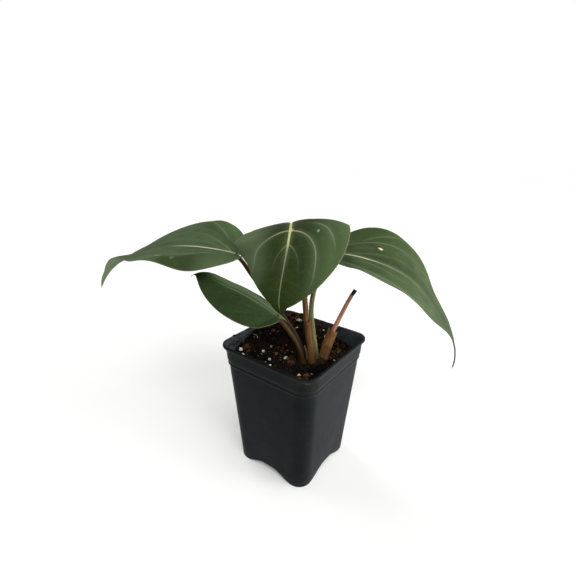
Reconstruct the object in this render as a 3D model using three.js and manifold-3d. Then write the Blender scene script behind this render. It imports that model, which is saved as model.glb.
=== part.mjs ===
// Potted creeping philodendron in a square nursery pot. Millimetres, +Z up.
// The pot stands square to X and Y. The plant is described by what lies to the right of, away from
// and above the middle of the pot's underside, as seen by someone who faces its front corner.
import * as THREE from 'three';
import { mergeVertices } from 'three/addons/utils/BufferGeometryUtils.js';
import Module from 'manifold-3d';

const wasm = await Module();
wasm.setup();

// Driving dimensions.
const plantTurn = THREE.MathUtils.degToRad(-53.4); // from the viewer's directions to the pot's
const gap = 0.3; // between pieces that touch
const pot = {
  height: 127, rim: 101.6, foot: 79.5, wall: 1.2, collarHeight: 18, bodyTop: 95.2,
  collarStep: 1.3, beadHeight: 2.6, bead: 0.9, footRadius: 12.5, rimRadius: 12,
  floorZ: 8, floorThickness: 1.4, archHalf: 27, archShoulder: 15, archRise: 6.5,
  drainRadius: 4, drainOffset: 21,
};
const soil = { level: 113, heap: 12, sink: 2.4, front: 3, lump: 5, lumpX: 40, lumpY: 22, lumpWidth: 14 };
const blade = { sinus: 2, thickness: 1.4, lead: 0.16, stations: 100 };

// Leaves: at = where the stalk meets the blade; length and half widths (near = left of the
// heading); lobes = how far the base runs back beside the stalk. Angles are in degrees: pitch at
// -35, 0, 25, 50, 75 and 100 % of the length, heading and roll at -35, 0, 50 and 100 %, and the
// slope across the blade at the midrib, half way out and at the margin.
const leaves = {
  left: {
    at: [-57, 24.5, 202], length: 148, widths: [56.5, 61], lobes: [8, 12.5], tipWidth: 1.3,
    pitch: [16, 17, 2, -14, -25, -72], heading: [188, 178, 169, 203], roll: [15, -2, -8, 23],
    slope: [[16, 7, -30], [9.5, 0.5, 20]], lobeSlope: [[10, 10, -32], [3.5, -16, -31]],
    wave: [[3.6, 2.3, 0.3], [2.7, 1.8, -0.1]], colour: 0x4a5d38,
  },
  middle: {
    at: [-6, -4, 236], length: 85.5, widths: [49, 51.5], lobes: [34, 30], tipWidth: 1.5,
    pitch: [23, -2, -45, -62, -73, -127], heading: [-94, -91, -110, -121], roll: [4, 7, 14, -9],
    slope: [[8, -3, -35], [3, -18, 2]], lobeSlope: [[18, -15, -51], [2, -12, -14]],
    wave: [[1.8, 1.5, 0], [0.2, 1, 0]], colour: 0x3a4d28,
  },
  right: {
    at: [41, 6, 208.5], length: 168.5, widths: [66, 48], lobes: [28, 25], tipWidth: 0.9,
    pitch: [15, -2, -23, -52, -54, -100], heading: [-4, -12, 4, -22], roll: [-3, -4, 18, -10],
    slope: [[15, 3, 36], [6, 3, 4]], lobeSlope: [[0, -10, -35], [2, -4, -34]],
    wave: [[0.9, 1.4, 0], [0.5, 1.5, 0]], colour: 0x4d6040,
  },
  low: {
    at: [-16.5, -32, 166.5], length: 94, widths: [36.5, 32.5], lobes: [7, 6], tipWidth: 1,
    pitch: [30, 20, 23, 14, 21, -45], heading: [177, 148, 161, 141], roll: [7, 23, 2, 2],
    slope: [[-11, -14, -38], [10, -20, 1]], lobeSlope: [[4, -9, -46], [-5, -20, -50]],
    wave: [[0.4, 1, 0], [1, 1.2, 0]], colour: 0x34472a,
  },
};

// Stalks: the middle line from the rhizome up, and the radius at its two ends.
const stalks = {
  petiole_left: {
    line: [[8.5, -9, 112], [0.4, -4, 131], [-7.3, 2, 142], [-14.8, 7, 151.8],
      [-26.2, 12.5, 165.2], [-40.4, 18.5, 182], [-50, 22.4, 194.8], [-55.3, 24.3, 199.8]],
    radii: [2.5, 1.7], colour: 0x6b5a3c,
  },
  petiole_low: {
    line: [[9, -16, 112], [1.5, -19.5, 132], [-6, -25, 148], [-12, -29, 158.5], [-14.3, -30.8, 162.5]],
    radii: [2.3, 1.6], colour: 0x5c4030,
  },
  petiole_middle: {
    line: [[15.5, -18.5, 113], [11.5, -17, 136], [8.7, -15, 154.5], [7.2, -12.5, 170],
      [4, -9, 196], [-2, -5, 224], [-5.4, -4, 234]],
    radii: [2.7, 1.9], colour: 0x5c4434,
  },
  petiole_right: {
    line: [[20, -12.5, 113], [15.6, -11.2, 139], [13.2, -9, 157.5], [13.8, -6, 171],
      [17, -3, 183], [26.5, 1.5, 196], [35, 4.5, 203.3], [39.4, 5.8, 206]],
    radii: [2.5, 1.8], colour: 0x6f8060,
  },
  cut_petiole: {
    line: [[25, -9, 113], [30.5, -6, 130.5], [37.5, -4, 148], [46.7, -1.5, 168.5], [52, 0, 177.5]],
    radii: [2.3, 1.6], colour: 0x7a5546,
  },
};

// Bracts are open gutters round a stalk: how far along the stalk they run, the arc that they
// cover, and how wide they stand off it at both ends.
const bracts = {
  bract_middle: { stalk: 'petiole_middle', from: 0.05, to: 0.36, arc: [-60, 120], clear: [1, 0.8] },
  bract_cut_petiole: { stalk: 'cut_petiole', from: 0.05, to: 0.42, arc: [30, 210], clear: [1.4, 0.4] },
};
const bractWall = 0.7;
const dryBract = {
  line: [[12.6, -13.6, 112], [10.5, -14.5, 122], [7.8, -15, 129.5]], radii: [1.7, 0.7], squash: 0.4,
};

const rhizome = {
  line: [[-5, -7, 96], [5, -11, 105], [12, -14, 108], [19, -15, 109], [29, -10.5, 108]],
  radii: [6.5, 6.5],
};
const rootRadii = [1.5, 0.6];
const roots = [
  [[3, -10, 102], [-3, -15, 80], [-14, -18, 58], [-16, -30, 36]],
  [[7, -12, 104], [6, -22, 80], [12, -34, 56], [8, -38, 30]],
  [[14, -14, 106], [14, -8, 78], [8, 2, 52], [12, 8, 26]],
  [[20, -14, 107], [28, -12, 80], [36, -4, 60], [34, 4, 34]],
  [[4, -10, 102], [-4, 2, 76], [-18, 14, 58], [-20, 22, 34]],
];

// Grains and chips bedded in the mix: X and Y in the pot, size, and height over width.
const grains = {
  perlite: {
    colour: 0xd8d4c8, squash: 0.8, list: [
      [32, 19, 2.6], [41.5, 11, 2], [42, -4.6, 1.6], [37, -11, 2.6], [23.5, 15, 1.6],
      [-29.5, 42, 2.2], [-33, 36, 2], [-9, 20.8, 1.8], [-13.6, 1, 2.2], [-23.7, 11.7, 1.9],
      [-18, 24, 1.7], [-31, 5, 1.4], [11.3, -36, 1.6], [-29.3, -25.4, 1.8],
    ],
  },
  bark_chip: {
    colour: 0x4a3626, squash: 0.45, list: [
      [6.6, 31.5, 4], [-24, 40.5, 3.6], [-26, -31, 4.2], [-16.6, -9, 3.4], [30, -30, 3],
      [36, 34, 3.8],
    ],
  },
};

// A point of the plant in the pot's directions.
function placed([right, away, up]) {
  return new THREE.Vector3(right, away, up).applyAxisAngle(new THREE.Vector3(0, 0, 1), plantTurn);
}

// A closed mesh from loose triangles: shared corners merged, slivers without area left out.
function closedGeometry(triangles) {
  const loose = new THREE.BufferGeometry().setFromPoints(triangles.flat());
  const merged = mergeVertices(loose, 1e-3);
  const index = merged.index.array;
  const kept = [];
  for (let i = 0; i < index.length; i += 3) {
    const [a, b, c] = index.slice(i, i + 3);
    if (a !== b && b !== c && c !== a) kept.push(a, b, c);
  }
  merged.setIndex(kept);
  merged.computeVertexNormals();
  return merged;
}

// Triangles over the flat outline of a ring, which may bend back on itself like a gutter.
function capTriangles(ring, flat, facingBack) {
  const faces = THREE.ShapeUtils.triangulateShape(flat, []);
  return faces.map(([a, b, c]) => {
    const ab = flat[b].clone().sub(flat[a]);
    const ac = flat[c].clone().sub(flat[a]);
    const turned = ab.cross(ac) > 0 === facingBack;
    return turned ? [ring[a], ring[c], ring[b]] : [ring[a], ring[b], ring[c]];
  });
}

// A closed skin over rings of points that run anticlockwise about their direction of travel.
function skin(rings, flats) {
  const triangles = capTriangles(rings[0], flats[0], true);
  for (let i = 0; i + 1 < rings.length; i++) {
    const [low, high] = [rings[i], rings[i + 1]];
    low.forEach((point, k) => {
      const next = (k + 1) % low.length;
      triangles.push([point, low[next], high[next]], [point, high[next], high[k]]);
    });
  }
  triangles.push(...capTriangles(rings.at(-1), flats.at(-1), false));
  return closedGeometry(triangles);
}

// A square outline with round corners, with its straight sides in as many parts as asked.
function roundedSquare(width, radius, sideSteps = 1, arcSteps = 5) {
  const centre = new THREE.Vector2(1, 1).multiplyScalar(width / 2 - radius);
  const corners = [0, 1, 2, 3].map((corner) => Array.from({ length: arcSteps + 1 }, (_, k) => {
    const arc = new THREE.Vector2(radius, 0).rotateAround(new THREE.Vector2(), k / arcSteps * Math.PI / 2);
    return arc.add(centre).rotateAround(new THREE.Vector2(), corner * Math.PI / 2);
  }));
  return corners.flatMap((arc, corner) => {
    const next = corners[(corner + 1) % 4][0];
    const side = Array.from({ length: sideSteps - 1 }, (_, k) =>
      arc.at(-1).clone().lerp(next, (k + 1) / sideSteps));
    return [...arc, ...side];
  });
}

// A closed body through level outlines: [z, width, corner radius].
function loft(levels, sideSteps = 1) {
  const flats = levels.map(([, width, radius]) => roundedSquare(width, radius, sideSteps));
  const rings = flats.map((flat, i) => flat.map(({ x, y }) => new THREE.Vector3(x, y, levels[i][0])));
  return skin(rings, flats);
}

// A body swept along a smooth line; sectionAt gives the outline for a place from 0 to 1.
function sweep(curve, sectionAt, steps) {
  const frames = curve.computeFrenetFrames(steps, false);
  const flats = [];
  const rings = [];
  for (let i = 0; i <= steps; i++) {
    const centre = curve.getPointAt(i / steps);
    const flat = sectionAt(i / steps);
    flats.push(flat);
    rings.push(flat.map(({ x, y }) => centre.clone()
      .addScaledVector(frames.normals[i], x).addScaledVector(frames.binormals[i], y)));
  }
  return skin(rings, flats);
}

const smoothLine = (line) => new THREE.CatmullRomCurve3(line.map(placed), false, 'centripetal');

function circle(radius, sides, squash = 1) {
  return Array.from({ length: sides }, (_, k) => {
    const angle = 2 * Math.PI * k / sides;
    return new THREE.Vector2(radius * Math.cos(angle), radius * squash * Math.sin(angle));
  });
}

function taperedTube(line, radii, sides, steps, extra = 0, squash = 1) {
  const section = (t) => circle(THREE.MathUtils.lerp(radii[0], radii[1], t) + extra, sides, squash);
  return sweep(smoothLine(line), section, steps);
}

// An open gutter, from its outside round to its inside.
function gutterSection(inner, wall, fromDegrees, toDegrees) {
  const steps = 8;
  const arc = (radius, from, to) => Array.from({ length: steps + 1 }, (_, k) => {
    const angle = THREE.MathUtils.degToRad(THREE.MathUtils.lerp(from, to, k / steps));
    return new THREE.Vector2(radius * Math.cos(angle), radius * Math.sin(angle));
  });
  return [...arc(inner + wall, fromDegrees, toDegrees), ...arc(inner, toDegrees, fromDegrees)];
}

function solidOf(geometry) {
  const bare = new THREE.BufferGeometry().setAttribute('position', geometry.attributes.position.clone());
  if (geometry.index) bare.setIndex(geometry.index.clone());
  const merged = mergeVertices(bare, 1e-3);
  const vertProperties = new Float32Array(merged.attributes.position.array);
  const triVerts = new Uint32Array(merged.index.array);
  return new wasm.Manifold(new wasm.Mesh({ numProp: 3, vertProperties, triVerts }));
}

function geometryOf(solid) {
  const mesh = solid.getMesh();
  const geometry = new THREE.BufferGeometry();
  geometry.setAttribute('position', new THREE.BufferAttribute(new Float32Array(mesh.vertProperties), 3));
  geometry.setIndex(new THREE.BufferAttribute(new Uint32Array(mesh.triVerts), 1));
  geometry.computeVertexNormals();
  return geometry;
}

const cut = (solid, ...tools) => tools.reduce((left, tool) => left.subtract(tool), solid);

// Pot.
function potWidthAt(z) {
  return THREE.MathUtils.mapLinear(z, 0, pot.height - pot.collarHeight, pot.foot, pot.bodyTop);
}

function potOutside() {
  const step = pot.height - pot.collarHeight;
  const bead = pot.height - pot.beadHeight;
  return loft([
    [0, pot.foot, pot.footRadius],
    [step, pot.bodyTop, pot.footRadius + pot.wall],
    [step + 0.8, pot.bodyTop + 2 * pot.collarStep, pot.footRadius + pot.wall],
    [bead - 0.6, pot.rim - 2 * pot.bead, pot.rimRadius],
    [bead, pot.rim, pot.rimRadius],
    [pot.height, pot.rim, pot.rimRadius],
  ]);
}

// The room inside the wall, from the floor to above the rim, smaller by extra all round.
function potInside(extra, top) {
  const step = pot.height - pot.collarHeight;
  const inset = 2 * (pot.wall + extra);
  const radius = pot.footRadius - pot.wall;
  return [
    [pot.floorZ + pot.floorThickness + extra, potWidthAt(pot.floorZ) - inset, radius],
    [step, pot.bodyTop - inset, radius + pot.wall],
    [step + 1, pot.bodyTop + 2 * pot.collarStep - inset, radius + pot.wall],
    [top, pot.rim - 2 * pot.bead - inset, radius],
  ];
}

function archCutter(turn) {
  const { archHalf, archShoulder, archRise } = pot;
  const outline = new THREE.Shape();
  outline.moveTo(-archHalf, -1);
  outline.lineTo(-archHalf, 0);
  outline.bezierCurveTo(-archHalf + 7, 0, -archShoulder - 5, archRise, -archShoulder, archRise);
  outline.lineTo(archShoulder, archRise);
  outline.bezierCurveTo(archShoulder + 5, archRise, archHalf - 7, 0, archHalf, 0);
  outline.lineTo(archHalf, -1);
  const across = { depth: pot.rim, curveSegments: 6, bevelEnabled: false };
  const cutter = new THREE.ExtrudeGeometry(outline, across);
  cutter.translate(0, 0, -pot.rim / 2);
  cutter.rotateX(Math.PI / 2);
  return solidOf(cutter.rotateZ(turn));
}

function potSolid() {
  const room = loft(potInside(0, pot.height + 1));
  const below = loft([
    [-1, potWidthAt(-1) - 2 * pot.wall, pot.footRadius - pot.wall],
    [pot.floorZ, potWidthAt(pot.floorZ) - 2 * pot.wall, pot.footRadius - pot.wall],
  ]);
  const drains = [[0, 0], [1, 1], [1, -1], [-1, 1], [-1, -1]].map(([x, y]) => {
    const drain = new THREE.CylinderGeometry(pot.drainRadius, pot.drainRadius, 4 * pot.floorThickness, 12);
    drain.rotateX(Math.PI / 2).translate(x * pot.drainOffset, y * pot.drainOffset, pot.floorZ);
    return solidOf(drain);
  });
  const tools = [solidOf(room), solidOf(below), archCutter(0), archCutter(Math.PI / 2), ...drains];
  return cut(solidOf(potOutside()), ...tools);
}

// Potting mix: heaped against the far corner, sunk at the corners on either side.
function soilHeight(x, y) {
  const half = pot.bodyTop / 2 - 1.6;
  const towardsHeap = (x + y) / (2 * half);
  const across = (x - y) / (2 * half);
  const lump = Math.exp(-((x - soil.lumpX) ** 2 + (y - soil.lumpY) ** 2) / (2 * soil.lumpWidth ** 2));
  return soil.level
    + soil.heap * THREE.MathUtils.smoothstep(towardsHeap - 0.15 * Math.max(across, 0), -0.1, 0.6)
    + soil.lump * lump
    - soil.sink * across * across
    + soil.front * THREE.MathUtils.smoothstep(-towardsHeap, 0.5, 1);
}

function soilGeometry() {
  const sideSteps = 4;
  const [floor, step, collar, rim] = potInside(gap, pot.height);
  const flats = [floor, step, collar].map(([, width, radius]) => roundedSquare(width, radius, sideSteps));
  const rings = flats.map((flat, i) =>
    flat.map(({ x, y }) => new THREE.Vector3(x, y, [floor, step, collar][i][0])));
  for (const scale of [1, 0.8, 0.55, 0.3, 0.1]) {
    const flat = roundedSquare(rim[1] * scale, collar[2] * scale, sideSteps);
    flats.push(flat);
    rings.push(flat.map(({ x, y }) => {
      const z = soilHeight(x, y);
      const narrowing = THREE.MathUtils.mapLinear(z, collar[0], rim[0], collar[1], rim[1]) / rim[1];
      return new THREE.Vector3(x * narrowing, y * narrowing, z);
    }));
  }
  return skin(rings, flats);
}

// Leaf blades. A frame is the midrib's point, its direction, the blade's left and its upper side.
function midribFrames(leaf) {
  const smoothed = (places, values, t) => {
    const at = (place) => {
      const i = places.findIndex((p) => p >= place);
      if (i < 0) return values.at(-1);
      if (i === 0) return values[0];
      return THREE.MathUtils.mapLinear(place, places[i - 1], places[i], values[i - 1], values[i]);
    };
    const window = [-0.06, -0.03, 0, 0.03, 0.06];
    return THREE.MathUtils.degToRad(window.reduce((sum, w) => sum + at(t + w), 0) / window.length);
  };
  const pitchPlaces = [-0.35, 0, 0.25, 0.5, 0.75, 1];
  const turnPlaces = [-0.35, 0, 0.5, 1];
  const step = leaf.length / blade.stations;
  const back = Math.ceil(0.4 * blade.stations);
  const frames = [];
  for (let i = -back; i <= blade.stations; i++) {
    const t = i / blade.stations;
    const pitch = smoothed(pitchPlaces, leaf.pitch, t);
    const heading = smoothed(turnPlaces, leaf.heading, t);
    const roll = smoothed(turnPlaces, leaf.roll, t);
    const along = new THREE.Vector3(
      Math.cos(pitch) * Math.cos(heading), Math.cos(pitch) * Math.sin(heading), Math.sin(pitch));
    const left = new THREE.Vector3(-Math.sin(heading), Math.cos(heading), 0).applyAxisAngle(along, roll);
    const up = new THREE.Vector3().crossVectors(along, left);
    const previous = frames.at(-1);
    const point = previous
      ? previous.point.clone().addScaledVector(previous.along, step / 2).addScaledVector(along, step / 2)
      : new THREE.Vector3();
    frames.push({ point, along, left, up });
  }
  const shift = new THREE.Vector3(...leaf.at).sub(frames[back].point);
  frames.forEach((frame) => frame.point.add(shift));
  return (a) => {
    const place = THREE.MathUtils.clamp(a / step + back, 0, frames.length - 1.001);
    const i = Math.floor(place);
    const mix = (key) => frames[i][key].clone().lerp(frames[i + 1][key], place - i);
    return { point: mix('point'), left: mix('left'), up: mix('up') };
  };
}

// Half of the leaf's outline laid flat, from the notch at the stalk round the lobe to the tip:
// x runs along the midrib, y out from it.
function marginPoints(length, width, lobe, tipWidth) {
  const curve = (...p) => new THREE.CubicBezierCurve(...p.map(([x, y]) => new THREE.Vector2(x, y)));
  const [l, w, k] = [length, width, tipWidth * width];
  const parts = [
    [curve([-blade.sinus, 0], [-0.45 * lobe, 0.03 * w], [-lobe, 0.14 * w], [-lobe, 0.44 * w]), 3],
    [curve([-lobe, 0.44 * w], [-lobe, 0.8 * w], [-0.25 * lobe, w], [blade.lead * l, w]), 4],
    [curve([blade.lead * l, w], [0.5 * l, w], [0.7 * l, 0.42 * k], [0.88 * l, 0.1 * k]), 8],
    [curve([0.88 * l, 0.1 * k], [0.93 * l, 0.04 * k], [0.97 * l, 0.025 * k], [l, 0]), 4],
  ];
  return parts.flatMap(([part, steps], i) => part.getPoints(steps).slice(i ? 1 : 0));
}

// How far out and how high a blade reaches at distance q (0 to 1) across its half width.
function crossSection(slopes, q) {
  const steps = 10;
  const place = new THREE.Vector2();
  for (let i = 0; i < steps; i++) {
    const s = q * (i + 0.5) / steps;
    const [midrib, half, edge] = [(1 - s) * (1 - 2 * s), 4 * s * (1 - s), s * (2 * s - 1)];
    const angle = THREE.MathUtils.degToRad(slopes[0] * midrib + slopes[1] * half + slopes[2] * edge);
    place.add(new THREE.Vector2(Math.cos(angle), Math.sin(angle)).multiplyScalar(q / steps));
  }
  return place;
}

function bladeGeometry(leaf) {
  const frameAt = midribFrames(leaf);
  const { length, widths, lobes, tipWidth } = leaf;
  const radialSteps = 4;
  const triangles = [];
  widths.forEach((width, side) => {
    const lobe = lobes[side];
    const margin = marginPoints(length, width, lobe, tipWidth);
    const [waveHeight, waves, phase] = leaf.wave[side];
    const grid = (face) => margin.map((edge) => {
      const lead = blade.lead * length;
      const root = THREE.MathUtils.clamp((edge.x - lead) / (length - lead), 0, 1) * length;
      return Array.from({ length: radialSteps + 1 }, (_, j) => {
        const r = j / radialSteps;
        const a = root + (edge.x - root) * r;
        const q = edge.y * r / width;
        const inLobe = THREE.MathUtils.smoothstep(-a, 0, lobe);
        const out = crossSection(leaf.slope[side], q).lerp(crossSection(leaf.lobeSlope[side], q), inLobe);
        const wave = waveHeight * Math.sin(2 * Math.PI * (waves * a / length + phase)) * q * q;
        const body = blade.thickness * (1 - r * r) * (1 - (root / length) ** 8);
        const { point, left, up } = frameAt(a);
        point.addScaledVector(left, (side ? -1 : 1) * out.x * width);
        point.addScaledVector(up, out.y * width + wave + face * body / 2);
        return placed(point.toArray());
      });
    });
    for (const face of [1, -1]) {
      const points = grid(face);
      const flipped = (face < 0) !== (side === 1);
      for (let i = 0; i + 1 < points.length; i++) {
        for (let j = 0; j < radialSteps; j++) {
          const quad = [points[i][j], points[i + 1][j], points[i + 1][j + 1], points[i][j + 1]];
          if (flipped) quad.reverse();
          triangles.push([quad[0], quad[1], quad[2]], [quad[0], quad[2], quad[3]]);
        }
      }
    }
  });
  return closedGeometry(triangles);
}

// Bedded grains: a rough pebble, half sunk.
function grainSolid([x, y, size], squash, extra, turn) {
  const pebble = new THREE.IcosahedronGeometry(1, 0);
  pebble.rotateZ(turn).scale(size + extra, 0.8 * size + extra, squash * size + extra);
  pebble.rotateZ(2 * turn).translate(x, y, soilHeight(x, y) + 0.25 * size * squash);
  return solidOf(pebble);
}

// Assembly.
const plant = new THREE.Group();

function addPiece(name, geometry, color, roughness) {
  const material = new THREE.MeshStandardMaterial({ color, roughness, metalness: 0 });
  const piece = new THREE.Mesh(geometry, material);
  piece.name = name;
  plant.add(piece);
}

addPiece('pot', geometryOf(potSolid()), 0x2b3034, 0.5);

const rhizomeTube = (extra) => solidOf(taperedTube(rhizome.line, rhizome.radii, 10, 8, extra));
const rhizomeRoom = rhizomeTube(gap);
addPiece('rhizome', geometryOf(rhizomeTube(0)), 0x3a2a1c, 0.9);

const beds = [rhizomeRoom];
roots.forEach((line, i) => {
  const root = (extra) => solidOf(taperedTube(line, rootRadii, 6, 8, extra));
  addPiece(`root_${i + 1}`, geometryOf(cut(root(0), rhizomeRoom)), 0xb8a07a, 0.9);
  beds.push(root(gap));
});
for (const [kind, { colour, squash, list }] of Object.entries(grains)) {
  list.forEach((grain, i) => {
    addPiece(`${kind}_${i + 1}`, geometryOf(grainSolid(grain, squash, 0, i)), colour, 0.95);
    beds.push(grainSolid(grain, squash, gap, i));
  });
}

const taken = [rhizomeRoom];
for (const [name, { line, radii, colour }] of Object.entries(stalks)) {
  const stalk = (extra) => solidOf(taperedTube(line, radii, 8, 14, extra));
  addPiece(name, geometryOf(cut(stalk(0), ...taken)), colour, 0.6);
  taken.push(stalk(gap));
  beds.push(stalk(gap));
}
for (const [name, bract] of Object.entries(bracts)) {
  const { line, radii } = stalks[bract.stalk];
  const whole = smoothLine(line);
  const places = [0, 0.25, 0.5, 0.75, 1].map((t) =>
    whole.getPointAt(THREE.MathUtils.lerp(bract.from, bract.to, t)));
  const inner = (t) => radii[0] + gap + THREE.MathUtils.lerp(bract.clear[0], bract.clear[1], t);
  const gutter = (extra) => solidOf(sweep(new THREE.CatmullRomCurve3(places), (t) =>
    gutterSection(inner(t) - extra, bractWall + 2 * extra, ...bract.arc), 6));
  addPiece(name, geometryOf(cut(gutter(0), ...taken)), 0x4a3424, 0.8);
  taken.push(gutter(gap));
  beds.push(gutter(gap));
}
const { line: dryLine, radii: dryRadii, squash: drySquash } = dryBract;
const dryScrap = solidOf(taperedTube(dryLine, dryRadii, 8, 5, 0, drySquash));
addPiece('bract_dry', geometryOf(cut(dryScrap, ...taken)), 0x6a5038, 0.9);
addPiece('soil', geometryOf(cut(solidOf(soilGeometry()), ...beds)), 0x1c140e, 1);

for (const [name, leaf] of Object.entries(leaves)) {
  addPiece(`leaf_${name}`, bladeGeometry(leaf), leaf.colour, 0.55);
}

// The origin is under the middle of the whole plant's box.
const box = new THREE.Box3().setFromObject(plant);
plant.position.set(-(box.min.x + box.max.x) / 2, -(box.min.y + box.max.y) / 2, 0);

export default plant;
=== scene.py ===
import math
import random
from contextlib import contextmanager

import bmesh
import bpy
import numpy as np
from mathutils import Matrix, Vector, noise


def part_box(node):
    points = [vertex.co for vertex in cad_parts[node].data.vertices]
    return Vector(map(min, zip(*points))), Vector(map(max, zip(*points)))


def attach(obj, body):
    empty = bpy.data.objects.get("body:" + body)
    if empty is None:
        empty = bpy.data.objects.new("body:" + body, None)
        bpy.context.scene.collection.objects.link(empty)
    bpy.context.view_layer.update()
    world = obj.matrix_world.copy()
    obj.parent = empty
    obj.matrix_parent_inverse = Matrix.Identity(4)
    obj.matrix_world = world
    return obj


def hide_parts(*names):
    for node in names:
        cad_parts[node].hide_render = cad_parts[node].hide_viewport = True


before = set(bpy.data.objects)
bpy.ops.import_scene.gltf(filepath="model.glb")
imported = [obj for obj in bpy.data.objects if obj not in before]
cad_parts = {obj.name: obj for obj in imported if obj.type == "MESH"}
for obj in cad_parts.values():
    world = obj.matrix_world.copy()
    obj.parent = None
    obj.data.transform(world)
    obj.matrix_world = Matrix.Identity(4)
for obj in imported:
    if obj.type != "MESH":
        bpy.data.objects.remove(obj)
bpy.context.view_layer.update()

# Lengths are millimetres and angles degrees, unless a note says otherwise. Blender's unit is the metre.
mm = 0.001
potLow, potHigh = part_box("pot")
potMiddle = np.array([(potLow.x + potHigh.x) / 2, (potLow.y + potHigh.y) / 2, 0])
viewerTurn = math.radians(-53.4)  # from the viewer's right, away and up to X, Y and Z
random.seed(11)


def placed(points):
    # right, away and up from the middle of the pot's underside
    turn = np.array(Matrix.Rotation(viewerTurn, 3, "Z"))
    return np.asarray(points, float) @ turn.T * mm + potMiddle


def inPot(points):
    # X, Y and Z from the middle of the pot's underside
    return np.asarray(points, float) * mm + potMiddle


# Modelling helpers

def added(operator, name=None, **settings):
    # a new object, with nothing else selected
    bpy.ops.object.select_all(action="DESELECT")
    operator(**settings)
    piece = bpy.context.object
    if name:
        piece.name = piece.data.name = name
    return piece


def newGrid(name, across, along):
    # a flat grid whose corners are 0,0 and 1,1 in its own UV map
    piece = added(bpy.ops.mesh.primitive_grid_add, name, x_subdivisions=across, y_subdivisions=along, size=1)
    return piece, readPoints(piece)[:, :2] + 0.5


def readPoints(piece, what="co"):
    points = np.zeros(len(piece.data.vertices) * 3)
    piece.data.vertices.foreach_get(what, points)
    return points.reshape(-1, 3)


def writePoints(piece, points):
    piece.data.vertices.foreach_set("co", np.asarray(points, float).ravel())
    piece.data.update()


def activate(piece):
    bpy.ops.object.select_all(action="DESELECT")
    piece.select_set(True)
    bpy.context.view_layer.objects.active = piece


@contextmanager
def editing(piece):
    # edit mode, with everything selected
    activate(piece)
    bpy.ops.object.mode_set(mode="EDIT")
    bpy.ops.mesh.select_all(action="SELECT")
    yield
    bpy.ops.object.mode_set(mode="OBJECT")


def weld(piece, outward=True):
    with editing(piece):
        bpy.ops.mesh.remove_doubles(threshold=0.01 * mm)
        if outward:
            bpy.ops.mesh.normals_make_consistent(inside=False)


def selectEdges(piece, wanted):
    bpy.ops.mesh.select_all(action="DESELECT")
    mesh = bmesh.from_edit_mesh(piece.data)
    for edge in mesh.edges:
        edge.select_set(wanted(edge))


def extrudeTo(piece, moved):
    # a new ring from the selected edges, with each of its points moved
    bpy.ops.mesh.extrude_edges_move()
    mesh = bmesh.from_edit_mesh(piece.data)
    for vert in mesh.verts:
        if vert.select:
            vert.co = moved(vert.co)
    bmesh.update_edit_mesh(piece.data)


def closeUp():
    # a face over the last ring, and every face turned outwards
    bpy.ops.mesh.edge_face_add()
    bpy.ops.mesh.select_all(action="SELECT")
    bpy.ops.mesh.normals_make_consistent(inside=False)


def applyModifier(piece, kind, **settings):
    activate(piece)
    modifier = piece.modifiers.new(kind.title(), kind)
    for key, value in settings.items():
        setattr(modifier, key, value)
    bpy.ops.object.modifier_apply(modifier=modifier.name)


def finish(piece, slot, replaced, *materials, sharp=None):
    piece.data.materials.clear()
    for material in materials:
        piece.data.materials.append(material)
    activate(piece)
    if sharp:
        bpy.ops.object.shade_smooth_by_angle(angle=math.radians(sharp))
    else:
        bpy.ops.object.shade_smooth()
    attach(piece, "root")
    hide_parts(*replaced)


# Material helpers

def paint(colour):
    channels = [int(colour[i:i + 2], 16) / 255 for i in (0, 2, 4)]
    return [c / 12.92 if c < 0.04045 else ((c + 0.055) / 1.055) ** 2.4 for c in channels] + [1]


def addNode(tree, kind, sockets=None, **settings):
    new = tree.nodes.new("ShaderNode" + kind)
    for key, value in settings.items():
        setattr(new, key, value)
    for key, value in (sockets or {}).items():
        if isinstance(value, bpy.types.NodeSocket):
            tree.links.new(value, new.inputs[key])
        else:
            new.inputs[key].default_value = value
    return new


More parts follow.
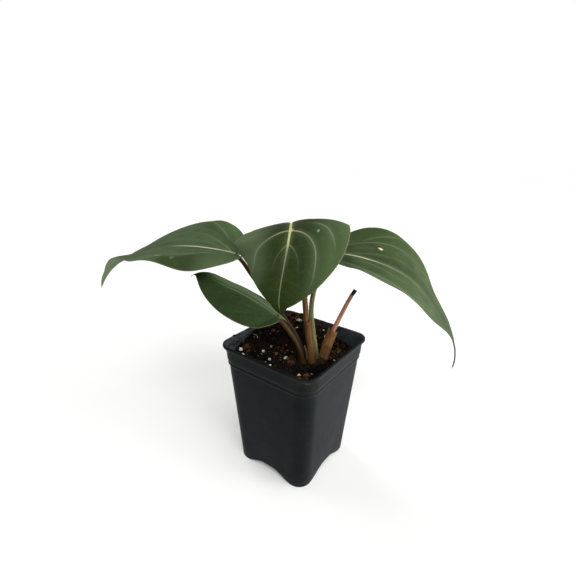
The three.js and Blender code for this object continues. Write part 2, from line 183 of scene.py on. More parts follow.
class Skin:
    # a node material; its colour starts as one tone and gets coats of others
    def __init__(self, name, colour, **sockets):
        self.material = bpy.data.materials.new(name)
        self.material.use_nodes = True
        self.tree = self.material.node_tree
        self.shader = self.tree.nodes["Principled BSDF"]
        for key, value in sockets.items():
            self.shader.inputs[key.replace("_", " ")].default_value = value
        self.colour = paint(colour)
        self.place = self.node("TexCoord").outputs["Object"]

    def node(self, kind, sockets=None, **settings):
        return addNode(self.tree, kind, sockets, **settings)

    def calc(self, operation, *values):
        return self.node("Math", dict(enumerate(values)), operation=operation).outputs[0]

    def times(self, product, *values):
        for value in values:
            product = self.calc("MULTIPLY", product, value)
        return product

    def fade(self, value, start, end, low=0.0, high=1.0):
        sockets = {0: value, 1: start, 2: end, 3: low, 4: high}
        return self.node("MapRange", sockets, interpolation_type="SMOOTHSTEP").outputs[0]

    def height(self):
        return self.node("SeparateXYZ", {0: self.place}).outputs[2]

    def uv(self, name="UVMap"):
        return self.node("UVMap", uv_map=name).outputs[0]

    def attribute(self, name):
        return self.node("Attribute", attribute_name=name).outputs["Fac"]

    def cloud(self, size, detail=3.0, rough=0.55):
        # noise with lumps of about this size
        sockets = {"Vector": self.place, "Scale": 1 / (size * mm), "Detail": detail, "Roughness": rough}
        return self.node("TexNoise", sockets).outputs[0]

    def cells(self, size):
        return self.node("TexVoronoi", {"Vector": self.place, "Scale": 1 / (size * mm)}).outputs

    def grain(self, stretch, scale, detail):
        # noise drawn out along a tube or a sheath
        stretched = self.node("Mapping", {0: self.uv(), 3: stretch}).outputs[0]
        return self.node("TexNoise", {"Vector": stretched, "Scale": scale, "Detail": detail}).outputs[0]

    def blend(self, share, base, top):
        base, top = [paint(tone) if isinstance(tone, str) else tone for tone in (base, top)]
        return self.node("Mix", {0: share, 6: base, 7: top}, data_type="RGBA").outputs[2]

    def coat(self, tone, share):
        self.colour = self.blend(share, self.colour, tone)
        self.tree.links.new(self.colour, self.shader.inputs["Base Color"])

    def emboss(self, pattern, depth):
        # depth is how high the pattern stands
        bump = self.node("Bump", {"Height": pattern, "Distance": depth * mm, "Strength": 1.0})
        before = self.shader.inputs["Normal"].links
        if before:
            self.tree.links.new(before[0].from_socket, bump.inputs["Normal"])
        self.tree.links.new(bump.outputs[0], self.shader.inputs["Normal"])


# Camera, light and floor

view = {"place": (-7.695, -328.2, 305.5), "down": 21.173, "tilt": 0.958, "lens": 24.895, "sensor": 36}
studio = {
    "room": 0.03, "roomTone": (0.97, 0.985, 1, 1), "backdrop": "ffffff", "floor": ("fbfbfa", "fafaf8"),
    "floorWidth": 6,
    # soft lamps far away: where from, how soft and how strong
    "lamps": {
        "leftBackLamp": ((-1000, 800, 800), 60, 1.6), "frontLamp": ((0, -1000, 1000), 50, 1.8),
        "rightFrontLamp": ((1000, -600, 300), 60, 3.6), "rightBackLamp": ((1000, 800, 500), 60, 1.0),
    },
    # low at the right, to light one side of the pot; its sizes and the floor's are metres
    "panel": {"start": (1250, -120, 60), "end": (0, 0, 60), "shape": "RECTANGLE", "size": 0.9,
              "size_y": 0.5, "energy": 21},
}


def addCamera():
    camera = added(bpy.ops.object.camera_add)
    camera.data.sensor_width = view["sensor"]
    camera.data.lens = view["lens"]
    camera.data.clip_start = 0.01
    turn = Matrix.Rotation(viewerTurn, 4, "Z")
    turn @= Matrix.Rotation(math.radians(90 - view["down"]), 4, "X")
    turn @= Matrix.Rotation(math.radians(view["tilt"]), 4, "Z")
    camera.matrix_world = Matrix.Translation(placed(view["place"])) @ turn
    bpy.context.scene.camera = camera


def addLight(kind, name, start, end=(0, 0, 0), **settings):
    light = added(bpy.ops.object.light_add, name, type=kind)
    for key, value in settings.items():
        setattr(light.data, key, value)
    light.location = placed(start)
    way = Vector(placed(start)) - Vector(placed(end))
    light.rotation_euler = way.to_track_quat("Z", "Y").to_euler()


def addStudio():
    world = bpy.data.worlds.new("studio")
    world.use_nodes = True
    tree = world.node_tree
    room = tree.nodes["Background"]
    room.inputs["Color"].default_value = studio["roomTone"]
    room.inputs["Strength"].default_value = studio["room"]
    backdrop = addNode(tree, "Background", {"Color": paint(studio["backdrop"]), "Strength": 1.0})
    seen = addNode(tree, "LightPath").outputs["Is Camera Ray"]
    both = addNode(tree, "MixShader", {0: seen, 1: room.outputs[0], 2: backdrop.outputs[0]})
    tree.links.new(both.outputs[0], tree.nodes["World Output"].inputs["Surface"])
    bpy.context.scene.world = world
    for name, (start, softness, strength) in studio["lamps"].items():
        addLight("SUN", name, start, angle=math.radians(softness), energy=strength)
    addLight("AREA", "rightPanel", **studio["panel"])
    floor = added(bpy.ops.mesh.primitive_plane_add, "floor", size=studio["floorWidth"])
    paper = Skin("floorPaper", studio["floor"][0], Roughness=0.9)
    paper.coat(studio["floor"][1], paper.cloud(300))
    floor.data.materials.append(paper.material)
    bpy.context.scene.view_settings.view_transform = "Standard"


addCamera()
addStudio()
print("camera and studio done")

# Pot: one skin from the raised floor's underside, round the skirt, over the rim and down inside.
# Each ring is (height, width, corner radius).

pot = {
    "arch": {"half": 27, "shoulder": 5, "rise": 7.4},
    "under": [(8, 78.4, 11.5), (1, 77.2, 11.3), (0, 77.6, 11.5)],
    "outside": [
        (0, 79.1, 12.3), (0.5, 79.6, 12.5), (10, 80.9, 12.7), (40, 85.2, 13), (75, 90.2, 13.4),
        (105, 94.6, 13.8),
        (106.6, 94.8, 13.8), (107.2, 95.6, 14), (107.8, 96.5, 14), (108.2, 96.7, 14), (108.5, 96.5, 14),
        (109.6, 95.8, 14), (110.2, 96, 14.1), (112.4, 97.5, 14.3), (113, 97.8, 14.4), (113.8, 98, 14.5),
        (118, 98.4, 14.5), (122.8, 98.9, 14.4), (123.4, 99.2, 14), (123.8, 100.2, 13),
        (124.2, 101.1, 12.3), (124.9, 101.6, 12),
        (126.2, 101.6, 12), (126.8, 101.3, 11.9), (127, 100.7, 11.7)],
    "inside": [
        (127, 99, 11), (126.8, 98.2, 10.6), (126, 97.7, 10.6), (122, 97.1, 11.4), (113.6, 95.8, 12.6),
        (112, 95.2, 12.6), (109.6, 93.1, 12.6), (108, 92.7, 12.6), (75, 87.8, 12.2), (40, 82.9, 11.8),
        (11, 78.6, 11.4), (9.6, 77.6, 11), (9.4, 76.6, 10.6)],
    "drains": {"radius": 4, "offset": 21, "height": 8.5, "depth": 6},
    "cornerSteps": 10, "sideSteps": 26,
    # the inside's tones are paler than the plastic: dust and painted light
    "tones": {"plastic": "0a0d0f", "smears": "0f1315", "dust": "4a4945", "specks": "050505",
              "soil": "3a2c20", "inside": "2e3336", "dustAndPaintedLight": "464e52", "splash": "17100a"},
}


def archRise(x, y):
    arch = pot["arch"]
    off = min(abs(x), abs(y))
    t = min(max((arch["half"] - off) / (arch["half"] - arch["shoulder"]), 0), 1)
    return arch["rise"] * t * t * (3 - 2 * t)


def onRing(point, before, after):
    # where a point of one ring goes on the next one
    flat, newFlat = before[1] / 2 - before[2], after[1] / 2 - after[2]
    place = []
    for value in point.xy:
        curve = max(abs(value) - flat, 0) / before[2]
        place.append(math.copysign(min(abs(value) / flat, 1) * newFlat + curve * after[2], value))
    floorHeight = pot["under"][0][0]
    lift = archRise(*place) * (1 - after[0] / floorHeight) if after[0] <= 1 else 0
    return *place, after[0] + lift


def potSkin():
    height, width, corner = pot["under"][0]
    piece = added(bpy.ops.mesh.primitive_plane_add, "nurseryPot", size=width)
    piece.data.transform(Matrix.Translation((0, 0, height)))
    with editing(piece):
        bpy.ops.mesh.bevel(offset=corner, segments=pot["cornerSteps"], affect="VERTICES")
        selectEdges(piece, lambda edge: edge.calc_length() > width / 2)
        bpy.ops.mesh.subdivide(number_cuts=pot["sideSteps"] - 1)
        selectEdges(piece, lambda edge: edge.is_boundary)
        rings = pot["under"] + pot["outside"] + pot["inside"]
        for before, after in zip(rings, rings[1:]):
            extrudeTo(piece, lambda point: onRing(point, before, after))
        closeUp()
    return piece


def drillDrains(piece):
    drains = pot["drains"]
    for x, y in [(0, 0), (1, 1), (1, -1), (-1, 1), (-1, -1)]:
        place = (x * drains["offset"], y * drains["offset"], drains["height"])
        drill = added(bpy.ops.mesh.primitive_cylinder_add, vertices=40, radius=drains["radius"],
                      depth=drains["depth"], location=place)
        applyModifier(piece, "BOOLEAN", operation="DIFFERENCE", object=drill, solver="EXACT")
        bpy.data.objects.remove(drill)


def potMaterial():
    tones = pot["tones"]
    skin = Skin("potPlastic", tones["plastic"], Roughness=0.45, Specular_IOR_Level=0.055)
    smears = skin.cloud(22, 5.0, 0.6)
    skin.coat(tones["smears"], skin.fade(smears, 0.4, 0.65))
    skin.coat(tones["dust"], skin.fade(skin.cloud(7, 6.0, 0.7), 0.5, 0.75, 0.0, 0.07))
    # small dents with painted shade: the dented spots are painted darker
    specks = skin.fade(skin.cells(7)["Distance"], 0.07, 0.045)
    skin.coat(tones["specks"], specks)
    soilDust = skin.times(skin.fade(skin.height(), 100 * mm, 127 * mm), skin.fade(smears, 0.5, 0.7), 0.3)
    skin.coat(tones["soil"], soilDust)
    skin.tree.links.new(skin.fade(smears, 0.3, 0.7, 0.4, 0.46), skin.shader.inputs["Roughness"])
    skin.emboss(skin.cloud(0.5, 2.0), 0.02)
    skin.emboss(skin.cloud(30, 1.0), 0.5)
    skin.emboss(specks, -0.15)
    return skin.material


def insideMaterial():
    # paler and bluer than the outside plastic: partly dust, partly painted light; with mix washed up its
    # walls
    tones = pot["tones"]
    skin = Skin("potInside", tones["inside"], Roughness=0.6, Specular_IOR_Level=0.2)
    # dust and painted light: a paler bluish mottle on the inner wall
    skin.coat(tones["dustAndPaintedLight"], skin.fade(skin.cloud(9, 5.0, 0.7), 0.35, 0.7))
    splash = skin.fade(skin.cloud(2.2, 5.0, 0.75), 0.52, 0.6)
    skin.coat(tones["splash"], skin.times(splash, skin.fade(skin.cloud(16, 2.0), 0.42, 0.6)))
    skin.emboss(splash, 0.3)
    return skin.material


def makePot():
    piece = potSkin()
    drillDrains(piece)
    writePoints(piece, inPot(readPoints(piece)))
    finish(piece, "pot", ["pot"], potMaterial(), insideMaterial(), sharp=38)
    floorHeight = pot["inside"][-2][0]
    for face in piece.data.polygons:
        centre = (np.array(face.center) - potMiddle) / mm
        if centre[2] > floorHeight - 0.1 and np.dot(centre[:2], face.normal.xy) < 0:
            face.material_index = 1


makePot()
print("pot done")

# Leaf blades. Flat on the table a blade has a place along its midrib and a place out from it;
# the midrib then bends, and each half slopes away from it.
# A side vein is an arc from a place on the midrib to the tip: (start, angle on the blade's left, angle
# on its right, strength, shown from, shown to), with starts and ends as shares of the length.
# A painted shade is a darker field between two of those angles, where the blade lies in shade: (on the left,
# from angle, to angle, from, to, strength). A mark is (along, out to the left, size, strength, colour), and
# the tip's tone is (from, to, strength, colour): a dry dark tip, but on the left leaf a pale one, partly
# painted light.
# The painted flank light gives each half, away from the midrib, a lighter or darker tone for how light falls
# on it.

blade = {
    "sinus": 2, "lead": 0.16, "steps": (18, 24, 48, 24), "rays": 26,
    "thin": 0.42, "rib": 2.0,  # thickness at the margin and at the midrib
    "ribSpread": (1.5, 0.4),  # how far out the midrib's thickness reaches, at the stalk and at the tip
    "warp": 0.2, "veinWidth": 0.5, "ribFurrow": 0.4,
    "tones": {"paintedShade": "22300f", "velvet": "62744a", "crossVeins": "7d8f66", "under": "a3a787",
              "edge": "6f6a4a", "sheen": "b4bfa6"},
}
leaves = {
    "left": {
        "at": (-57, 24.5, 202), "length": 148, "widths": (56.5, 61), "lobes": (8, 12.5), "tipWidth": 1.3,
        "pitch": (16, 17, 2, -14, -25, -72), "heading": (188, 178, 169, 203), "roll": (15, -2, -8, 23),
        "slope": ((16, 7, -30), (9.5, 0.5, 20)), "lobeSlope": ((10, 10, -32), (3.5, -16, -31)),
        "wave": ((3.6, 2.3, 0.3), (2.7, 1.8, -0.1)),
        "face": "40532f", "deep": "314325", "paintedFlankLight": ("475a37", "3f5031"), "paintedFlankSpan": (0.12, 0.4),
        "midrib": "cfc9ac", "vein": "8d9a78", "ribWidth": (1.25, 0.3), "ribShown": (0.42, 0.62),
        "ribCream": (0.3, 0.6), "pleat": (2.3, 5.5),
        "sideVeins": ((0.02, 34, 30, 0.2, 0.02, 0.4), (0.02, 58, 55, 0.3, 0.02, 0.45),
                      (0.02, 59, 85, 0.25, 0.1, 0.42), (0, 160, 116, 0.1, 0, 0.3)),
        "paintedShades": ((1, 61, 200, 0.14, 0.36, 0.85), (0, 66, 80, 0.02, 0.3, 0.5), (0, 100, 112, 0, 0.15, 0.4)),
        "marks": ((54, 42, 4.4, 0.4, "8f9474"), (42, 44, 3.4, 0.3, "8c9474")), "blunt": 0.025,
        # pale curled tip: partly the underside's own paler tone, partly painted light
        "tip": (0.64, 0.78, 0.25, "98a286"),
    },
    "middle": {
        "at": (-6, -4, 236), "length": 85.5, "widths": (49, 51.5), "lobes": (34, 30), "tipWidth": 1.5,
        "pitch": (23, -2, -45, -62, -73, -127), "heading": (-94, -91, -110, -121), "roll": (4, 7, 14, -9),
        "slope": ((8, -3, -35), (3, -18, 2)), "lobeSlope": ((18, -15, -51), (2, -12, -14)),
        "wave": ((1.8, 1.5, 0), (0.2, 1, 0)),
        "face": "26370c", "deep": "1c2b09", "paintedFlankLight": ("3f4f2f", "505f42"), "paintedFlankSpan": (0.12, 0.42),
        "midrib": "c6c28c", "vein": "98a17c", "ribWidth": (1.2, 0.5), "ribShown": (0.85, 0.99),
        "ribCream": (0.24, 0.42), "pleat": (0.8, 3.2),
        "sideVeins": ((0.13, 73, 88, 0.7, 0.11, 0.75), (0.29, 52, 44, 0.25, 0.27, 0.65),
                      (0, 87, 118, 0.5, 0.07, 0.38), (0, 140, 146, 0.3, -0.3, 0.1)),
        "paintedShades": (),
        "marks": ((16, 24, 2.3, 0.55, "a6ab8c"), (10.5, 0, 5, 0.85, "c6c28c")), "blunt": 0.03,
        "tip": (0.93, 0.98, 0.5, "33311f"),
    },
    "right": {
        "at": (41, 6, 208.5), "length": 168.5, "widths": (66, 48), "lobes": (28, 25), "tipWidth": 0.9,
        "pitch": (15, -2, -23, -52, -54, -100), "heading": (-4, -12, 4, -22), "roll": (-3, -4, 18, -10),
        "slope": ((15, 3, 36), (6, 3, 4)), "lobeSlope": ((0, -10, -35), (2, -4, -34)),
        "wave": ((0.9, 1.4, 0), (0.5, 1.5, 0)),
        "face": "33441f", "deep": "263417", "paintedFlankLight": ("344423", "415530"), "paintedFlankSpan": (0.12, 0.4),
        "midrib": "c6c09c", "vein": "8b9975", "ribWidth": (1.05, 0.2), "ribShown": (0.14, 0.45),
        "ribCream": (0.08, 0.22), "pleat": (1.9, 6),
        "sideVeins": ((-0.25, 47, 42, 0.45, 0.0, 0.5), (-0.1, 67, 62, 0.3, 0.1, 0.5),
                      (0, 30, 26, 0.2, 0.02, 0.4), (0, 110, 100, 0.2, 0, 0.3)),
        "paintedShades": ((1, 2, 26, 0.06, 0.8, 0.75), (1, -9, 300, 0.66, 2, 0.35), (0, -9, 300, 0.66, 2, 0.35)),
        "marks": ((33, 28, 4.4, 0.95, "ded6ac"),), "blunt": 0.06,
        "tip": (0.93, 0.98, 1.0, "33311f"),
    },
    "low": {
        "at": (-16.5, -32, 166.5), "length": 94, "widths": (36.5, 32.5), "lobes": (7, 6), "tipWidth": 1,
        "pitch": (30, 20, 23, 14, 21, -45), "heading": (177, 148, 161, 141), "roll": (7, 23, 2, 2),
        "slope": ((-11, -14, -38), (10, -20, 1)), "lobeSlope": ((4, -9, -46), (-5, -20, -50)),
        "wave": ((0.4, 1, 0), (1, 1.2, 0)),
        "face": "2f431e", "deep": "243518", "paintedFlankLight": ("253519", "5f6e4d"), "paintedFlankSpan": (0.0, 0.07),
        "midrib": "6a8058", "vein": "55704a", "ribWidth": (0.8, 0.3), "ribShown": (0.85, 0.99),
        "ribCream": (0.4, 0.8), "pleat": (0.8, 4),
        "sideVeins": ((0.02, 36, 36, 0.15, 0.02, 0.45), (0.02, 66, 66, 0.15, 0.02, 0.5),
                      (0, 100, 100, 0.1, 0, 0.4)),
        "paintedShades": (), "marks": (), "blunt": 0.03, "tip": (0.93, 0.98, 0.2, "33311f"),
    },
}


def midrib(leaf):
    # the midrib's points with the blade's left and upper side, from behind the stalk to the tip
    t = np.arange(-40, 101) / 100

    def eased(places, values):
        spread = [np.interp(t + shift, places, values) for shift in (-0.06, -0.03, 0, 0.03, 0.06)]
        return np.radians(np.mean(spread, axis=0))

    pitch = eased((-0.35, 0, 0.25, 0.5, 0.75, 1), leaf["pitch"])
    heading = eased((-0.35, 0, 0.5, 1), leaf["heading"])
    roll = eased((-0.35, 0, 0.5, 1), leaf["roll"])[:, None]
    along = np.stack([np.cos(pitch) * np.cos(heading), np.cos(pitch) * np.sin(heading), np.sin(pitch)], -1)
    level = np.stack([-np.sin(heading), np.cos(heading), 0 * heading], -1)
    left = level * np.cos(roll) + np.cross(along, level) * np.sin(roll)
    steps = (along[1:] + along[:-1]) / 2 * leaf["length"] / 100
    points = np.vstack([[0, 0, 0], np.cumsum(steps, axis=0)])
    return t * leaf["length"], points - points[40] + leaf["at"], left, np.cross(along, left)


def bezier(a, b, c, d, steps):
    t = np.linspace(0, 1, steps + 1)[:, None]
    a, b, c, d = [np.array(point, float) for point in (a, b, c, d)]
    return (1 - t) ** 3 * a + 3 * (1 - t) ** 2 * t * b + 3 * (1 - t) * t * t * c + t ** 3 * d


def margin(leaf, side):
    # half of the flat outline: from the notch at the stalk, round the lobe, to the tip
    length, width, lobe = leaf["length"], leaf["widths"][side], leaf["lobes"][side]
    tip = leaf["tipWidth"] * width
    handles = [
        (-blade["sinus"], 0), (-0.45 * lobe, 0.03 * width), (-lobe, 0.14 * width),
        (-lobe, 0.44 * width), (-lobe, 0.8 * width), (-0.25 * lobe, width),
        (blade["lead"] * length, width), (0.5 * length, width), (0.7 * length, 0.42 * tip),
        (0.88 * length, 0.1 * tip), (0.94 * length, 0.06 * tip), (0.98 * length, leaf["blunt"] * tip),
        (length, 0)]
    arcs = [bezier(*handles[3 * k:3 * k + 4], steps) for k, steps in enumerate(blade["steps"])]
    return np.vstack(arcs[:1] + [arc[1:] for arc in arcs[1:]])


def smooth(value, low, high):
    t = np.clip((value - low) / (high - low), 0, 1)
    return t * t * (3 - 2 * t)


def crossSection(slopes, out):
    s = out[:, None] * (np.arange(10) + 0.5) / 10
    slope = slopes[0] * (1 - s) * (1 - 2 * s) + 4 * slopes[1] * s * (1 - s) + slopes[2] * s * (2 * s - 1)
    angle = np.radians(slope)
    return np.stack([np.cos(angle).mean(1) * out, np.sin(angle).mean(1) * out], -1)


def bladePoints(leaf, side, along, out):
    places, points, left, up = midrib(leaf)
    width, lobe = leaf["widths"][side], leaf["lobes"][side]
    q = out / width
    inLobe = smooth(-along, 0, lobe)[:, None]
    section = crossSection(leaf["slope"][side], q) * (1 - inLobe)
    section += crossSection(leaf["lobeSlope"][side], q) * inLobe
    tall, waves, phase = leaf["wave"][side]
    ripple = tall * np.sin(2 * np.pi * (waves * along / leaf["length"] + phase)) * q * q

    def at(values):
        return np.stack([np.interp(along, places, values[:, k]) for k in range(3)], -1)

    sign = -1 if side else 1
    height = section[:, 1:] * width + ripple[:, None]
    return at(points) + at(left) * sign * section[:, :1] * width + at(up) * height


def veinAngle(leaf, start, along, out):
    # the angle that names the arc through a point, and how many millimetres one radian spans there
    warp, rest = blade["warp"], 1 - start
    t, w = (along / leaf["length"] - start) / rest, out / leaf["length"] / rest
    t = t * (1 + warp) / (1 + warp * t)
    spread = np.hypot(t, w) * np.hypot(1 - t, w) * rest * leaf["length"]
    return np.arctan2(w, t) + np.arctan2(w, 1 - t), spread


def bladeRelief(leaf, along, out):
    # the veins lie in broad furrows and the blade swells between them
    deep, wide = leaf["pleat"]
    depth = np.exp(-(out / wide) ** 2) * blade["ribFurrow"]
    for start, leftAngle, rightAngle, strength, _, _ in leaf["sideVeins"]:
        angle, spread = veinAngle(leaf, start, along, np.abs(out))
        wanted = np.radians(np.where(out > 0, leftAngle, rightAngle))
        off = np.abs(angle - wanted) * spread / wide
        depth = np.maximum(depth, np.exp(-off ** 2) * (0.6 + 0.4 * strength))
    rise = smooth(np.hypot(along, out), 3, 25) * smooth(leaf["length"] - along, 8, 60)
    return -deep * depth * rise


def makeLeaf(name, leaf):
    stations, rays = sum(blade["steps"]), blade["rays"]
    piece, corner = newGrid("blade" + name.title(), 2 * rays, stations)
    station = np.rint(corner[:, 1] * stations).astype(int)
    reach = np.abs(corner[:, 0] * 2 - 1)
    flat = np.zeros((len(corner), 2))
    points = np.zeros((len(corner), 3))
    lead = blade["lead"] * leaf["length"]
    for side in (0, 1):
        half = corner[:, 0] <= 0.5 if side == 0 else corner[:, 0] >= 0.5
        edge = margin(leaf, side)[station[half]]
        root = np.clip((edge[:, 0] - lead) / (leaf["length"] - lead), 0, 1) * leaf["length"]
        along = root + (edge[:, 0] - root) * reach[half]
        out = edge[:, 1] * reach[half]
        points[half] = bladePoints(leaf, side, along, out)
        flat[half] = np.stack([along, -out if side else out], -1)
    writePoints(piece, placed(points))
    storeFlat(piece, flat / leaf["length"])
    # 0 on the midrib, 1 at the margin
    piece.data.attributes.new("reach", "FLOAT", "POINT").data.foreach_set("value", reach)
    weld(piece, outward=False)
    sinkVeins(piece, leaf)
    applyModifier(piece, "SUBSURF", levels=1, render_levels=1)
    thicken(piece, leaf)
    skins = [leafSkin(name, leaf, under) for under in (False, True)]
    finish(piece, "leaf_blade", ["leaf_" + name], *skins)


def loopPoints(piece):
    points = np.zeros(len(piece.data.loops), int)
    piece.data.loops.foreach_get("vertex_index", points)
    return points


def storeFlat(piece, flat):
    # own UV map: places on the flat blade, in leaf lengths
    layer = piece.data.uv_layers.new(name="blade")
    layer.data.foreach_set("uv", flat[loopPoints(piece)].ravel())


def readFlat(piece):
    uv = np.zeros(len(piece.data.loops) * 2)
    piece.data.uv_layers["blade"].data.foreach_get("uv", uv)
    flat = np.zeros((len(piece.data.vertices), 2))
    flat[loopPoints(piece)] = uv.reshape(-1, 2)
    return flat


def upFacing(piece):
    return sum(face.normal.z * face.area for face in piece.data.polygons) > 0


def sinkVeins(piece, leaf):
    flat = readFlat(piece) * leaf["length"]
    facing = readPoints(piece, "normal") * (1 if upFacing(piece) else -1)
    relief = bladeRelief(leaf, flat[:, 0], flat[:, 1])
    writePoints(piece, readPoints(piece) + facing * relief[:, None] * mm)


def thicken(piece, leaf):
    if not upFacing(piece):
        piece.data.flip_normals()
    t, out = readFlat(piece).T
    rib = piece.vertex_groups.new(name="rib")
    width = np.interp(t, (0, 1), blade["ribSpread"])
    thin = blade["thin"] / blade["rib"]
    weights = thin + (1 - thin) * (1 - smooth(t, 0.1, 1)) * np.exp(-(out * leaf["length"] / width) ** 2)
    for index, weight in enumerate(weights):
        rib.add([index], float(weight), "REPLACE")
    applyModifier(piece, "SOLIDIFY", thickness=blade["rib"] * mm, offset=-1, vertex_group="rib",
                  material_offset=1, material_offset_rim=0)


def arcNodes(skin, parts, start):
    # veinAngle once more, in leaf lengths; the ratio tells places along an arc apart
    calc, warp = skin.calc, blade["warp"]
    along = calc("DIVIDE", calc("SUBTRACT", parts[0], start), 1 - start)
    out = calc("DIVIDE", calc("ABSOLUTE", parts[1]), 1 - start)
    along = calc("DIVIDE", calc("MULTIPLY", along, 1 + warp), calc("MULTIPLY_ADD", along, warp, 1.0))
    ahead = calc("SUBTRACT", 1.0, along)
    angle = calc("ADD", calc("ARCTAN2", out, along), calc("ARCTAN2", out, ahead))
    square = calc("MULTIPLY", out, out)
    toBase, toTip = [calc("SQRT", calc("MULTIPLY_ADD", way, way, square)) for way in (along, ahead)]
    spread = skin.times(toBase, toTip, 1 - start)
    return angle, spread, calc("LOGARITHM", calc("DIVIDE", toBase, toTip), math.e)


def veinNodes(skin, leaf):
    calc, times, fade, length = skin.calc, skin.times, skin.fade, leaf["length"]
    uv = skin.uv("blade")
    parts = skin.node("SeparateXYZ", {0: uv}).outputs
    onLeft = calc("GREATER_THAN", parts[1], 0.0)
    thin = blade["veinWidth"] / length
    lines = glow = young = paintedShade = 0.0
    for start, leftAngle, rightAngle, strength, first, last in leaf["sideVeins"]:
        angle, spread, _ = arcNodes(skin, parts, start)
        turn = math.radians(leftAngle - rightAngle)
        wanted = calc("MULTIPLY_ADD", onLeft, turn, math.radians(rightAngle))
        off = times(calc("ABSOLUTE", calc("SUBTRACT", angle, wanted)), spread)
        shown = times(fade(parts[0], last, last * 0.4), fade(parts[0], first - 0.03, first + 0.02))
        line = times(fade(off, thin * 1.6, thin * 0.3, 0.0, strength), shown)
        lines = calc("MAXIMUM", lines, line)
        glow = calc("MAXIMUM", glow, times(fade(off, 5 / length, 0.0, 0.0, strength), shown))
        if start > 0:  # cream where it leaves the midrib
            young = calc("MAXIMUM", young, times(line, fade(parts[0], start + 0.09, start)))
    out = calc("ABSOLUTE", parts[1])
    base, tip = [width / length for width in leaf["ribWidth"]]
    rib = fade(calc("DIVIDE", out, fade(parts[0], 0.0, 0.8, base, tip)), 1.15, 0.55)
    full, gone = leaf["ribShown"]
    rib = times(rib, fade(parts[0], gone, full))
    halo = times(fade(out, 6 / length, 0.0), fade(parts[0], 0.8, 0.2))
    angle, _, ratio = arcNodes(skin, parts, 0)
    # painted shade: darker fields between two vein angles, where the blade lies in shade
    for left, low, high, first, last, strength in leaf["paintedShades"]:
        field = times(
            fade(angle, math.radians(low - 2), math.radians(low + 4)),
            fade(angle, math.radians(high + 4), math.radians(high - 4)),
            fade(parts[0], first - 0.06, first + 0.06, 0.0, strength),
            fade(parts[0], last + 0.05, last - 0.05), calc("COMPARE", onLeft, float(left), 0.1))
        paintedShade = calc("MAXIMUM", paintedShade, field)
    return {"uv": uv, "along": parts[0], "onLeft": onLeft, "ratio": ratio, "lines": lines, "rib": rib,
            "young": young, "paintedShade": paintedShade, "glow": calc("MAXIMUM", glow, halo),
            "paintedFlank": fade(out, *leaf["paintedFlankSpan"])}


def leafMark(skin, leaf, uv, mark):
    along, out, size, strength, _ = mark
    middle = (along / leaf["length"], out / leaf["length"], 0)
    off = skin.node("VectorMath", {0: uv, 1: middle}, operation="DISTANCE").outputs["Value"]
    ragged = skin.calc("MULTIPLY_ADD", skin.cloud(size * 0.7, 3.0), size * 1.4, -size * 0.7)
    off = skin.calc("MULTIPLY_ADD", off, leaf["length"], ragged)
    return skin.fade(off, size * 0.55, size * 0.35, 0.0, strength)


def leafSkin(name, leaf, under):
    tones = blade["tones"]
    skin = Skin("blade" + name.title() + ("Under" if under else ""), leaf["deep"], Roughness=0.7,
                Specular_IOR_Level=0.12, Sheen_Weight=0.025, Sheen_Roughness=0.4,
                Sheen_Tint=paint(tones["sheen"]))
    veins = veinNodes(skin, leaf)
    skin.coat(leaf["face"], skin.fade(skin.cloud(16, 4.0), 0.3, 0.7))
    # painted light and shade: each half of the blade, away from the midrib, gets a lighter or darker tone
    # for how light falls on it
    leftPaintedFlank, rightPaintedFlank = leaf["paintedFlankLight"]
    skin.coat(skin.blend(veins["onLeft"], rightPaintedFlank, leftPaintedFlank), veins["paintedFlank"])
    # painted shade over the fields listed under each leaf
    skin.coat(tones["paintedShade"], veins["paintedShade"])
    skin.coat(tones["velvet"], skin.fade(skin.cloud(0.9, 2.0, 0.7), 0.35, 0.75, 0.0, 0.1))
    # fine cross veins between the arcs
    wobble = skin.times(skin.cloud(6, 2.0), 6.6)
    ladder = skin.calc("SINE", skin.calc("MULTIPLY_ADD", veins["ratio"], 15.0, wobble))
    ladder = skin.fade(ladder, 0.86, 1.0)
    skin.coat(tones["crossVeins"], skin.times(ladder, 0.035))
    if under:
        skin.coat(tones["under"], 0.82)
    skin.coat(leaf["vein"], skin.times(veins["glow"], 0.16))
    skin.coat(leaf["vein"], skin.times(veins["lines"], 0.75))
    skin.coat(leaf["midrib"], skin.times(veins["young"], 0.8))
    cream = skin.fade(veins["along"], *leaf["ribCream"])
    ribShare = skin.fade(veins["along"], *leaf["ribCream"], 0.95, 0.5)
    skin.coat(skin.blend(cream, leaf["midrib"], leaf["vein"]), skin.times(veins["rib"], ribShare))
    if not under:
        for mark in leaf["marks"]:
            skin.coat(mark[4], leafMark(skin, leaf, veins["uv"], mark))
    skin.coat(tones["edge"], skin.fade(skin.attribute("reach"), 0.975, 1.0, 0.0, 0.35))
    # the tip's tone: dry and dark on most leaves; on the left leaf pale, partly painted light
    tipFrom, tipTo, tipShare, tipTone = leaf["tip"]
    skin.coat(tipTone, skin.fade(veins["along"], tipFrom, tipTo, 0.0, tipShare))
    skin.emboss(ladder, 0.04 if under else -0.015)
    skin.emboss(veins["lines"], 0.3 if under else -0.25)
    skin.emboss(skin.cloud(1.6, 1.0), 0.03)
    return skin.material


for name, leaf in leaves.items():
    makeLeaf(name, leaf)
print("leaves done")

# Stalks: tapered tubes along a smooth line from the rhizome up to the blades.

